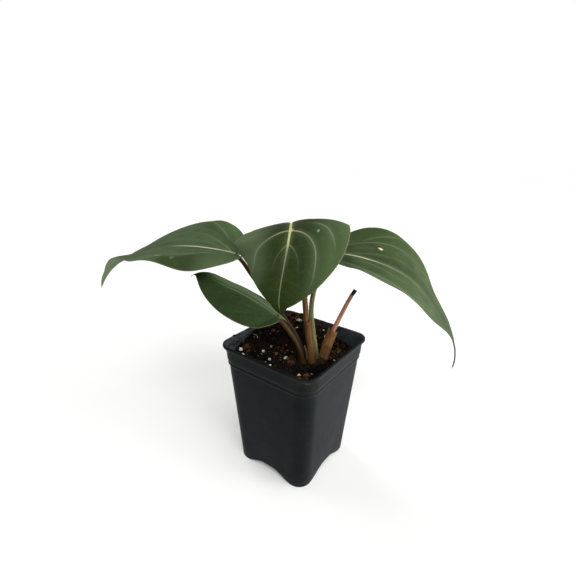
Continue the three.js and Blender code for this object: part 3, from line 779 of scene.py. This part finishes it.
stalks = {
    "petiole_left": {
        "line": ((8.5, -9, 108), (0.4, -4, 131), (-7.3, 2, 142), (-14.8, 7, 151.8), (-26.2, 12.5, 165.2),
                 (-40.4, 18.5, 182), (-50, 22.4, 194.8), (-57, 24.5, 201.4)),
        "radii": (2.6, 1.8), "foot": 0.55, "skin": ("35210c", "483416", "334a22"),
    },
    "petiole_low": {
        "line": ((9, -16, 108), (1.5, -19.5, 132), (-6, -25, 148), (-12, -29, 158.5), (-16.5, -32, 166)),
        "radii": (2.4, 1.7), "foot": 0.7, "skin": ("2b1a0a", "3c2911", "38451f"),
    },
    "petiole_middle": {
        "line": ((15.5, -18.5, 108), (11.5, -17, 136), (8.7, -15, 154.5), (7.2, -12.5, 170), (4, -9, 196),
                 (-2, -5, 224), (-6, -4, 235.4)),
        "radii": (2.7, 2), "foot": 0.2, "skin": ("4c3116", "624226", "33230e"),
    },
    "petiole_right": {
        "line": ((20, -12.5, 108), (15.6, -11.2, 139), (13.2, -9, 157.5), (13.8, -6, 171), (17, -3, 183),
                 (26.5, 1.5, 196), (35, 4.5, 203.3), (41, 6, 208)),
        "radii": (2.5, 1.9), "foot": 0.3, "skin": ("566b44", "60442a", "7f9070"),
    },
    "cut_petiole": {
        "line": ((25, -9, 108), (30.5, -6, 130.5), (37.5, -4, 148), (46.7, -1.5, 168.5), (52, 0, 177.5)),
        "radii": (2.4, 1.7), "foot": 0.15, "skin": ("835844", "a07562", "5a3e2c"), "blackTip": 173.5,
    },
}
stalkEnds = {
    # the darker foot is partly the sheath's own brown and partly painted shade low among the stalks
    "foot": "35230f", "brown": (138, 112),  # from the first height down, in full at the second
    "cut": "15130f",
}
rhizome = {
    "line": ((-7, -5, 93), (5, -11, 105), (12, -14, 108.5), (19, -15, 109.5), (30, -10, 108)),
    "radius": 6.6, "joints": 6, "skin": ("20140a", "33210f", "1d140c"),
}


def smoothLine(points, count):
    # evenly spaced points on a curve through the given ones, and its length
    points = np.array(points, float)
    ends = np.vstack([2 * points[0] - points[1], points, 2 * points[-1] - points[-2]])
    fine = []
    for p0, p1, p2, p3 in zip(ends, ends[1:], ends[2:], ends[3:]):
        t = np.linspace(0, 1, 24, endpoint=False)[:, None]
        fine.append(0.5 * (2 * p1 + (p2 - p0) * t + (2 * p0 - 5 * p1 + 4 * p2 - p3) * t ** 2
                           + (3 * p1 - p0 - 3 * p2 + p3) * t ** 3))
    fine = np.vstack(fine + [points[-1:]])
    travelled = np.concatenate([[0], np.cumsum(np.linalg.norm(np.diff(fine, axis=0), axis=1))])
    wanted = np.linspace(0, travelled[-1], count)
    return np.stack([np.interp(wanted, travelled, fine[:, k]) for k in range(3)], -1), travelled[-1]


def lineFrames(line):
    # two directions across the line at each point, turning as little as they can
    along = np.gradient(line, axis=0)
    along /= np.linalg.norm(along, axis=1)[:, None]
    right = np.cross(along[0], (0, 1, 0))
    frames = []
    for direction in along:
        right = right - direction * np.dot(right, direction)
        right /= np.linalg.norm(right)
        frames.append((right, np.cross(direction, right)))
    return frames


def tube(name, points, radiusAt, sides=20, rings=60, squash=1.0, place=placed):
    # radiusAt(t, angle) gives the radius along the tube and round it
    piece, corner = newGrid(name, sides, rings)
    middle = [(t, 1) for t in np.linspace(0, 1, rings - 3)[1:-1]]
    stops = [(0, 0), (0, 0.75), (0, 1)] + middle + [(1, 1), (1, 0.75), (1, 0)]
    steps = 120
    line, _ = smoothLine(points, steps + 1)
    frames = lineFrames(line)
    result = []
    for u, v in corner:
        t, cap = stops[int(round(v * rings))]
        index = int(round(t * steps))
        angle = 2 * math.pi * (u % 1)
        radius = radiusAt(t, angle) * cap
        right, up = frames[index]
        across, raised = radius * math.cos(angle), radius * squash * math.sin(angle)
        result.append(line[index] + right * across + up * raised)
    writePoints(piece, place(result))
    weld(piece)
    return piece


def stalkMaterial(name, stalk):
    base, streak, fleck = stalk["skin"]
    skin = Skin(name, base, Roughness=0.6, Specular_IOR_Level=0.15)
    fibres = skin.grain((9, 5, 1), 1.6, 5.0)
    skin.coat(streak, skin.fade(fibres, 0.38, 0.62))
    flecks = skin.fade(skin.cells(1.3)["Distance"], 0.3, 0.15)
    skin.coat(fleck, skin.times(flecks, skin.fade(skin.cloud(9, 3.0), 0.45, 0.6)))
    # real brown and painted shade: darker towards the foot of each stalk
    height, (start, full) = skin.height(), stalkEnds["brown"]
    skin.coat(stalkEnds["foot"], skin.fade(height, start * mm, full * mm, 0.0, 0.8))
    if "blackTip" in stalk:
        tip = stalk["blackTip"]
        skin.coat(stalkEnds["cut"], skin.fade(height, (tip - 1.5) * mm, (tip + 1) * mm))
    skin.emboss(fibres, 0.25)
    return skin.material


def makeStalk(name, stalk):
    low, high = stalk["radii"]
    phase = random.uniform(0, 6)

    def radiusAt(t, angle):
        ribs = 1 + 0.025 * math.sin(5 * angle + phase)
        swell = 1 + stalk["foot"] * math.exp(-(t / 0.16) ** 2) + 0.12 * math.exp(-(1 - t) / 0.02)
        return (low + (high - low) * t) * ribs * swell

    piece = tube(name + "Stalk", stalk["line"], radiusAt)
    finish(piece, "petiole", [name], stalkMaterial(name, stalk))


def rhizomeMaterial():
    base, rings, stains = rhizome["skin"]
    skin = Skin("rhizomeBark", base, Roughness=0.9, Specular_IOR_Level=0.08)
    sockets = {"Vector": skin.uv(), "Scale": 3.0, "Distortion": 2.0, "Detail": 3.0}
    skin.coat(rings, skin.node("TexWave", sockets, bands_direction="Y").outputs[1])
    skin.coat(stains, skin.fade(skin.cloud(2.5, 4.0), 0.45, 0.7))
    skin.emboss(skin.cloud(1.5, 5.0), 0.5)
    return skin.material


def makeRhizome():
    def radiusAt(t, angle):
        joints = 1 + 0.07 * math.cos(2 * math.pi * t * rhizome["joints"])
        knobs = 1 + 0.05 * math.sin(3 * angle + 9 * t)
        return rhizome["radius"] * joints * knobs * min(1, 0.55 + 3 * min(t, 1 - t))

    piece = tube("creepingRhizome", rhizome["line"], radiusAt, sides=32)
    finish(piece, "rhizome", ["rhizome"], rhizomeMaterial())


for name, stalk in stalks.items():
    makeStalk(name, stalk)
makeRhizome()
print("stalks done")

# Bracts: dry brown sheaths, open gutters that hug the foot of a stalk.

bracts = {
    "bract_middle": {
        "stalk": "petiole_middle", "span": (0.05, 0.36), "facing": -35, "arc": (220, 130),
        "clear": (0.8, 0.7), "skin": ("432b12", "5c3f1f", "2e2114"), "ragged": 2.2,
    },
    "bract_cut_petiole": {
        "stalk": "cut_petiole", "span": (0.04, 0.45), "facing": -115, "arc": (280, 225),
        "clear": (1.9, 1.9), "skin": ("543a1d", "78522d", "2e2114"), "ragged": 1.6,
    },
}
dryScrap = {
    "line": ((12.6, -13.6, 110), (10.5, -14.5, 122), (7.8, -15, 129.5)), "radii": (1.9, 0.7),
    "squash": 0.4, "skin": ("7a5c42", "b58f7c", "2e2114"),
}


def bractMaterial(name, tones):
    base, streaks, stains = tones
    skin = Skin(name, base, Roughness=0.75, Specular_IOR_Level=0.15)
    fibres = skin.grain((26, 2.5, 1), 1.0, 4.0)
    skin.coat(streaks, skin.fade(fibres, 0.35, 0.65))
    skin.coat(stains, skin.fade(skin.cloud(5), 0.5, 0.7, 0.0, 0.6))
    skin.emboss(fibres, 0.35)
    return skin.material


def makeBract(name, bract):
    stalk = stalks[bract["stalk"]]
    steps = 200
    line, length = smoothLine(stalk["line"], steps + 1)
    frames = lineFrames(line)
    piece, corner = newGrid(name + "Sheath", 28, 40)
    facing = Matrix.Rotation(math.radians(bract["facing"]), 3, "Z") @ Vector((1, 0, 0))
    low, high = bract["span"]
    result = []
    for u, v in corner:
        tear = noise.noise((u * 5, 2.3, len(name))) + 0.5 * noise.noise((u * 15, 7.1, 1))
        t = low + (high - low) * v + tear * bract["ragged"] * v ** 6 / length
        index = min(int(t * steps), steps - 1)
        centre = line[index] + (line[index + 1] - line[index]) * (t * steps - index)
        right, up = frames[index]
        angle = math.atan2(np.dot(up, facing), np.dot(right, facing))
        angle += (u - 0.5) * math.radians(np.interp(v, (0, 1), bract["arc"]))
        radius = stalk["radii"][0] + np.interp(v, (0, 1), bract["clear"])
        radius += 0.35 * noise.noise((u * 4, v * 5, 3)) + 0.4 * abs(2 * u - 1) ** 3 * (1 - v)
        result.append(centre + radius * (right * math.cos(angle) + up * math.sin(angle)))
    writePoints(piece, placed(result))
    applyModifier(piece, "SOLIDIFY", thickness=0.55 * mm, offset=0)
    applyModifier(piece, "SUBSURF", levels=1, render_levels=1)
    finish(piece, "bract", [name], bractMaterial(name, bract["skin"]))


def makeScrap():
    piece = tube("dryScrap", dryScrap["line"], lambda t, angle: np.interp(t, (0, 1), dryScrap["radii"]),
                 sides=14, rings=20, squash=dryScrap["squash"])
    finish(piece, "bract", ["bract_dry"], bractMaterial("dryScrap", dryScrap["skin"]))


for name, bract in bracts.items():
    makeBract(name, bract)
makeScrap()
print("bracts done")

# Potting mix: heaped against the far corner, sunk at the corners on either side.

mix = {
    "level": 113, "heap": 12, "sink": 2.4, "front": 3, "half": 46,
    "lump": 5, "lumpAt": (40, 22), "lumpWidth": 14,
    "crumbs": ((5.5, 1.5), (2.6, 0.9), (1.3, 0.4)),  # sizes and heights
    "width": 94.6, "radius": 13, "bottom": 100, "taper": 0.955, "grid": 170,
    "tones": {"peat": "090604", "crumbs": "20140b", "chaff": "4f3420", "paintedHollowShade": "030202"},
}


def ground(x, y):
    # how high the mix stands at a place, with its crumbs; the noise doesn't repeat within the pot
    towards, across = (x + y) / (2 * mix["half"]), (x - y) / (2 * mix["half"])
    lumpX, lumpY = mix["lumpAt"]
    lump = math.exp(-((x - lumpX) ** 2 + (y - lumpY) ** 2) / (2 * mix["lumpWidth"] ** 2))
    height = mix["level"] + mix["heap"] * smooth(towards - 0.15 * max(across, 0), -0.1, 0.6)
    height += mix["lump"] * lump - mix["sink"] * across ** 2 + mix["front"] * smooth(-towards, 0.5, 1)
    height += 1.5 * noise.fractal((x / 13, y / 13, 0.3), 0.9, 2.0, 4)
    for size, tall in mix["crumbs"]:
        near = noise.voronoi((x / size, y / size, 0.7 * size))[0]
        height += tall * (0.5 - min(near[0], 1))
    return float(height)


def insideMix(u, v):
    # -1 to 1 in both directions onto a square with round corners
    long, short = (u, v) if abs(u) >= abs(v) else (v, u)
    if long == 0:
        return 0.0, 0.0
    size, radius = abs(long), mix["radius"]
    half, flat = mix["width"] / 2, mix["width"] / 2 - radius
    turn = 1.2 * radius / half  # how much of each side belongs to a corner's arc
    deep, across = half, short / size / (1 - turn) * flat
    if abs(short) / size > 1 - turn:
        angle = (abs(short) / size - 1 + turn) / turn * math.pi / 4
        across = math.copysign(flat + radius * math.sin(angle), short)
        deep = flat + radius * math.cos(angle)
    deep, across = math.copysign(deep, long) * size, across * size
    return (deep, across) if abs(u) >= abs(v) else (across, deep)


def mixMaterial():
    tones = mix["tones"]
    skin = Skin("pottingMix", tones["peat"], Roughness=0.95, Specular_IOR_Level=0.1)
    crumbs = skin.node("SeparateColor", {0: skin.cells(2.4)["Color"]}).outputs[0]
    skin.coat(tones["crumbs"], skin.fade(crumbs, 0.3, 1.0))
    skin.coat(tones["chaff"], skin.fade(skin.cloud(1.1, 3.0, 0.7), 0.58, 0.72, 0.0, 0.6))
    # painted shade in hollows: darker patches over the mix
    skin.coat(tones["paintedHollowShade"], skin.fade(skin.cloud(4, 2.0), 0.55, 0.35))
    skin.emboss(skin.cloud(0.8, 4.0, 0.65), 0.5)
    return skin.material


def makeMix():
    piece, corner = newGrid("pottingMix", mix["grid"], mix["grid"])
    result = []
    for u, v in 2 * corner - 1:
        x, y = insideMix(u, v)
        rim = max(max(abs(u), abs(v)) - 0.93, 0) / 0.07
        result.append((x, y, ground(x, y) - 1.5 * rim))
    writePoints(piece, inPot(result))

    def sunk(point):
        low = Vector(potMiddle) + (point - Vector(potMiddle)) * mix["taper"]
        return low.x, low.y, mix["bottom"] * mm

    with editing(piece):
        selectEdges(piece, lambda edge: edge.is_boundary)
        extrudeTo(piece, sunk)
        closeUp()
    finish(piece, "potting_mix", ["soil"], mixMaterial())


makeMix()
print("potting mix done")

# Loose bits on the mix: crumbs, white grains, bark chips and fibres. Each kind is one mesh of many
# small lumps, and a lump's "tone" picks its colour.

perliteNames = [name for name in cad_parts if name.startswith("perlite_")]
barkNames = [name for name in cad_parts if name.startswith("bark_chip_")]
loose = {
    # how many, and the smallest and largest
    "crumbs": (420, 0.5, 1.9), "dust": (1500, 0.25, 0.7), "smallGrains": 55,
    # middle, spread and count of paler crumbs, partly painted light, and how large they and their dust are
    "patches": (((-9, 11), 5, 40), ((-13, -4), 4, 30), ((-35, -31), 3.5, 40), ((26, -33), 6, 35),
                ((38, 30), 9, 120), ((42, 5), 6, 50), ((-30, 37), 5, 25), ((33, -18), 5, 40)),
    "patchCrumbs": (0.6, 1.8), "patchDust": (0.3, 0.7),
    "onWall": {"count": 26, "along": (-44, -22), "out": 47.3, "up": (117, 124), "sizes": (1, 0.5, 0.8)},
    "onRim": {"count": 5, "at": (-30, 49.3, 127.5), "sizes": (1.3, 0.9, 0.6)},
    # middle, direction and length; the first is the pale one
    "fibres": ((-8.5, 41, 60, 8), (-22, -8, 20, 11), (6, 28, 130, 9), (-30, 14, 80, 8), (30, -30, 50, 9),
               (22, 20, 10, 12), (-8, -28, 160, 9), (36, 4, 110, 8)),
    "fibreRadii": (0.24, 0.14),
    # three tones, the roughness and how high the grain stands
    "finishes": {
        "peatCrumbs": ("070503", "2a1a0c", "744e2b", 0.95, 0.3),
        "perlite": ("7d786a", "bcb7a7", "e6e3d8", 0.85, 0.2),
        "barkChips": ("24160c", "4a3020", "6b4a30", 0.9, 0.4),
        "dryFibres": ("3a2614", "6a4a2c", "8a6a44", 0.9, 0.1),
        "paleFibre": ("b5afa0", "c9c4b6", "dcd8cc", 0.8, 0.1),
    },
    "rootTones": ("a88a62", "cdb48c"),
}


def lumpShape(subdivisions):
    lump = added(bpy.ops.mesh.primitive_ico_sphere_add, subdivisions=subdivisions, radius=1)
    points = readPoints(lump)
    faces = [list(face.vertices) for face in lump.data.polygons]
    bpy.data.objects.remove(lump)
    return points, faces


def chipped(points, rough):
    # a ball cut by flat faces all round, then dented
    seed = Vector([random.uniform(-50, 50) for _ in range(3)])
    radius = np.full(len(points), 1.0)
    for _ in range(14):
        way = np.array(Vector([random.gauss(0, 1) for _ in range(3)]).normalized())
        radius = np.minimum(radius, random.uniform(0.62, 0.95) / np.maximum(points @ way, 0.05))
    dents = np.array([1 + rough * noise.noise(Vector(p) * 2 + seed) for p in points])
    return points * (radius * dents)[:, None]


def joinedLumps(name, lumps, subdivisions, rough):
    # lumps are (place, sizes, tone); each is chipped and turned at random
    points, faces = lumpShape(subdivisions)
    allPoints, allFaces, tones = [], [], []
    for place, sizes, tone in lumps:
        turn = Matrix.Rotation(random.uniform(0, 6.3), 3, "Z")
        turn @= Matrix.Rotation(random.uniform(-0.6, 0.6), 3, "X")
        start = len(tones)
        allPoints.append((chipped(points, rough) * np.array(sizes)) @ np.array(turn).T + np.array(place))
        allFaces += [[start + index for index in face] for face in faces]
        tones += [tone] * len(points)
    mesh = bpy.data.meshes.new(name)
    mesh.from_pydata(inPot(np.vstack(allPoints)).tolist(), [], allFaces)
    mesh.attributes.new("tone", "FLOAT", "POINT").data.foreach_set("value", tones)
    piece = bpy.data.objects.new(name, mesh)
    bpy.context.scene.collection.objects.link(piece)
    return piece


def lumpMaterial(name):
    dark, middle, pale, roughness, depth = loose["finishes"][name]
    skin = Skin(name, dark, Roughness=roughness, Specular_IOR_Level=0.15)
    tone = skin.attribute("tone")
    skin.coat(middle, skin.fade(tone, 0.0, 0.5))
    skin.coat(pale, skin.fade(tone, 0.5, 1.0))
    skin.coat(dark, skin.fade(skin.cloud(0.9, 3.0), 0.45, 0.7, 0.0, 0.5))  # stains
    skin.emboss(skin.cloud(0.5, 3.0), depth)
    return skin.material


def onMix(reach):
    x, y = insideMix(random.uniform(-reach, reach), random.uniform(-reach, reach))
    return x, y, ground(x, y)


def nodeLumps(names, palest):
    # lumps at the places and sizes of these nodes
    lumps = []
    for name in names:
        low, high = [np.array(end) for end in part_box(name)]
        place = ((low + high) / 2 - potMiddle) / mm
        lumps.append((place, (high - low) / 2 / mm * 1.02, random.uniform(palest, 1)))
    return lumps


def crumb(x, y, z, low, high, tone):
    size = random.uniform(low, high)
    sizes = (size, size * random.uniform(0.5, 0.9), size * random.uniform(0.4, 0.8))
    return (x, y, z + 0.2 * size), sizes, tone


def paintedFrontShade(x, y):
    # painted shade: the crumbs are darker towards the viewer's side of the pot
    return 0.15 + 0.85 * float(smooth(x + y, -60, 20))


def keepInside(x, y):
    # back towards the middle until clear of the walls and their round corners
    flat, curve = mix["width"] / 2 - mix["radius"], mix["radius"] - 2
    while math.hypot(max(abs(x) - flat, 0), max(abs(y) - flat, 0)) > curve:
        x, y = x * 0.97, y * 0.97
    return x, y


def crumbPatch(middle, spread, count, low, high):
    # paler crumbs gathered round one place, partly painted light where light falls on the mix
    result = []
    for _ in range(count):
        x, y = keepInside(*[random.gauss(m, spread) for m in middle])
        result.append(crumb(x, y, ground(x, y), low, high, random.uniform(0.35, 1)))
    return result


def makeCrumbs():
    coarse, fine = [], []
    count, low, high = loose["crumbs"]
    for _ in range(count):
        x, y, z = onMix(0.97)
        coarse.append(crumb(x, y, z, low, high, 0.75 * paintedFrontShade(x, y) * random.random() ** 2.5))
    count, low, high = loose["dust"]
    for _ in range(count):
        x, y, z = onMix(0.98)
        fine.append(crumb(x, y, z, low, high, paintedFrontShade(x, y) * random.random() ** 1.8))
    for middle, spread, count in loose["patches"]:
        coarse += crumbPatch(middle, spread, count, *loose["patchCrumbs"])
        fine += crumbPatch(middle, spread * 1.2, count * 2, *loose["patchDust"])
    wall, rim = loose["onWall"], loose["onRim"]
    for _ in range(wall["count"]):
        place = (random.uniform(*wall["along"]), wall["out"], random.uniform(*wall["up"]))
        fine.append((place, wall["sizes"], random.uniform(0.2, 0.8)))
    for _ in range(rim["count"]):
        place = np.array(rim["at"]) + [random.uniform(-2, 2), random.uniform(-0.3, 0.3), 0]
        coarse.append((place, rim["sizes"], 0.1))
    material = lumpMaterial("peatCrumbs")
    finish(joinedLumps("peatCrumbs", coarse, 2, 0.4), "potting_mix", [], material, sharp=30)
    finish(joinedLumps("peatDust", fine, 1, 0.3), "potting_mix", [], material, sharp=30)


def makeGrains():
    grains = nodeLumps(perliteNames, 0.5)
    for _ in range(loose["smallGrains"]):
        x, y, z = onMix(0.95)
        size = 0.25 + 0.9 * random.random() ** 2.5
        grains.append(((x, y, z + 0.2), (size, size * 0.6, size * 0.7), random.uniform(0.0, 0.9)))
    piece = joinedLumps("perliteGrains", grains, 3, 0.5)
    finish(piece, "perlite", perliteNames, lumpMaterial("perlite"), sharp=40)


def makeBark():
    piece = joinedLumps("barkChips", nodeLumps(barkNames, 0.3), 3, 0.7)
    finish(piece, "bark", barkNames, lumpMaterial("barkChips"), sharp=40)


def makeFibres():
    # thin dry roots that lie across the mix, and one pale one
    def radiusAt(t, angle):
        return np.interp(t, (0, 1), loose["fibreRadii"])

    pieces = []
    for x, y, turn, length in loose["fibres"]:
        points = []
        for s in np.linspace(0, 1, 6):
            way = math.radians(turn + 40 * s)
            off = length * (s - 0.5)
            px, py = keepInside(x + off * math.cos(way), y + off * math.sin(way))
            points.append((px, py, ground(px, py) + 0.5 + 1.2 * s * (1 - s)))
        name = "dryFibres" if pieces else "paleFibre"
        pieces.append(tube(name, points, radiusAt, sides=6, rings=14, place=inPot))
    pale, brown = pieces[:2]
    bpy.ops.object.select_all(action="DESELECT")
    for piece in pieces[1:]:
        piece.select_set(True)
    bpy.context.view_layer.objects.active = brown
    bpy.ops.object.join()
    finish(brown, "potting_mix", [], lumpMaterial("dryFibres"))
    finish(pale, "potting_mix", [], lumpMaterial("paleFibre"))


def paintRoots():
    base, pale = loose["rootTones"]
    skin = Skin("rootSkin", base, Roughness=0.8)
    skin.coat(pale, skin.cloud(4))
    for name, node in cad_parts.items():
        if name.startswith("root_"):
            node.data.materials.clear()
            node.data.materials.append(skin.material)


makeCrumbs()
makeGrains()
makeBark()
makeFibres()
paintRoots()
print("loose bits done")
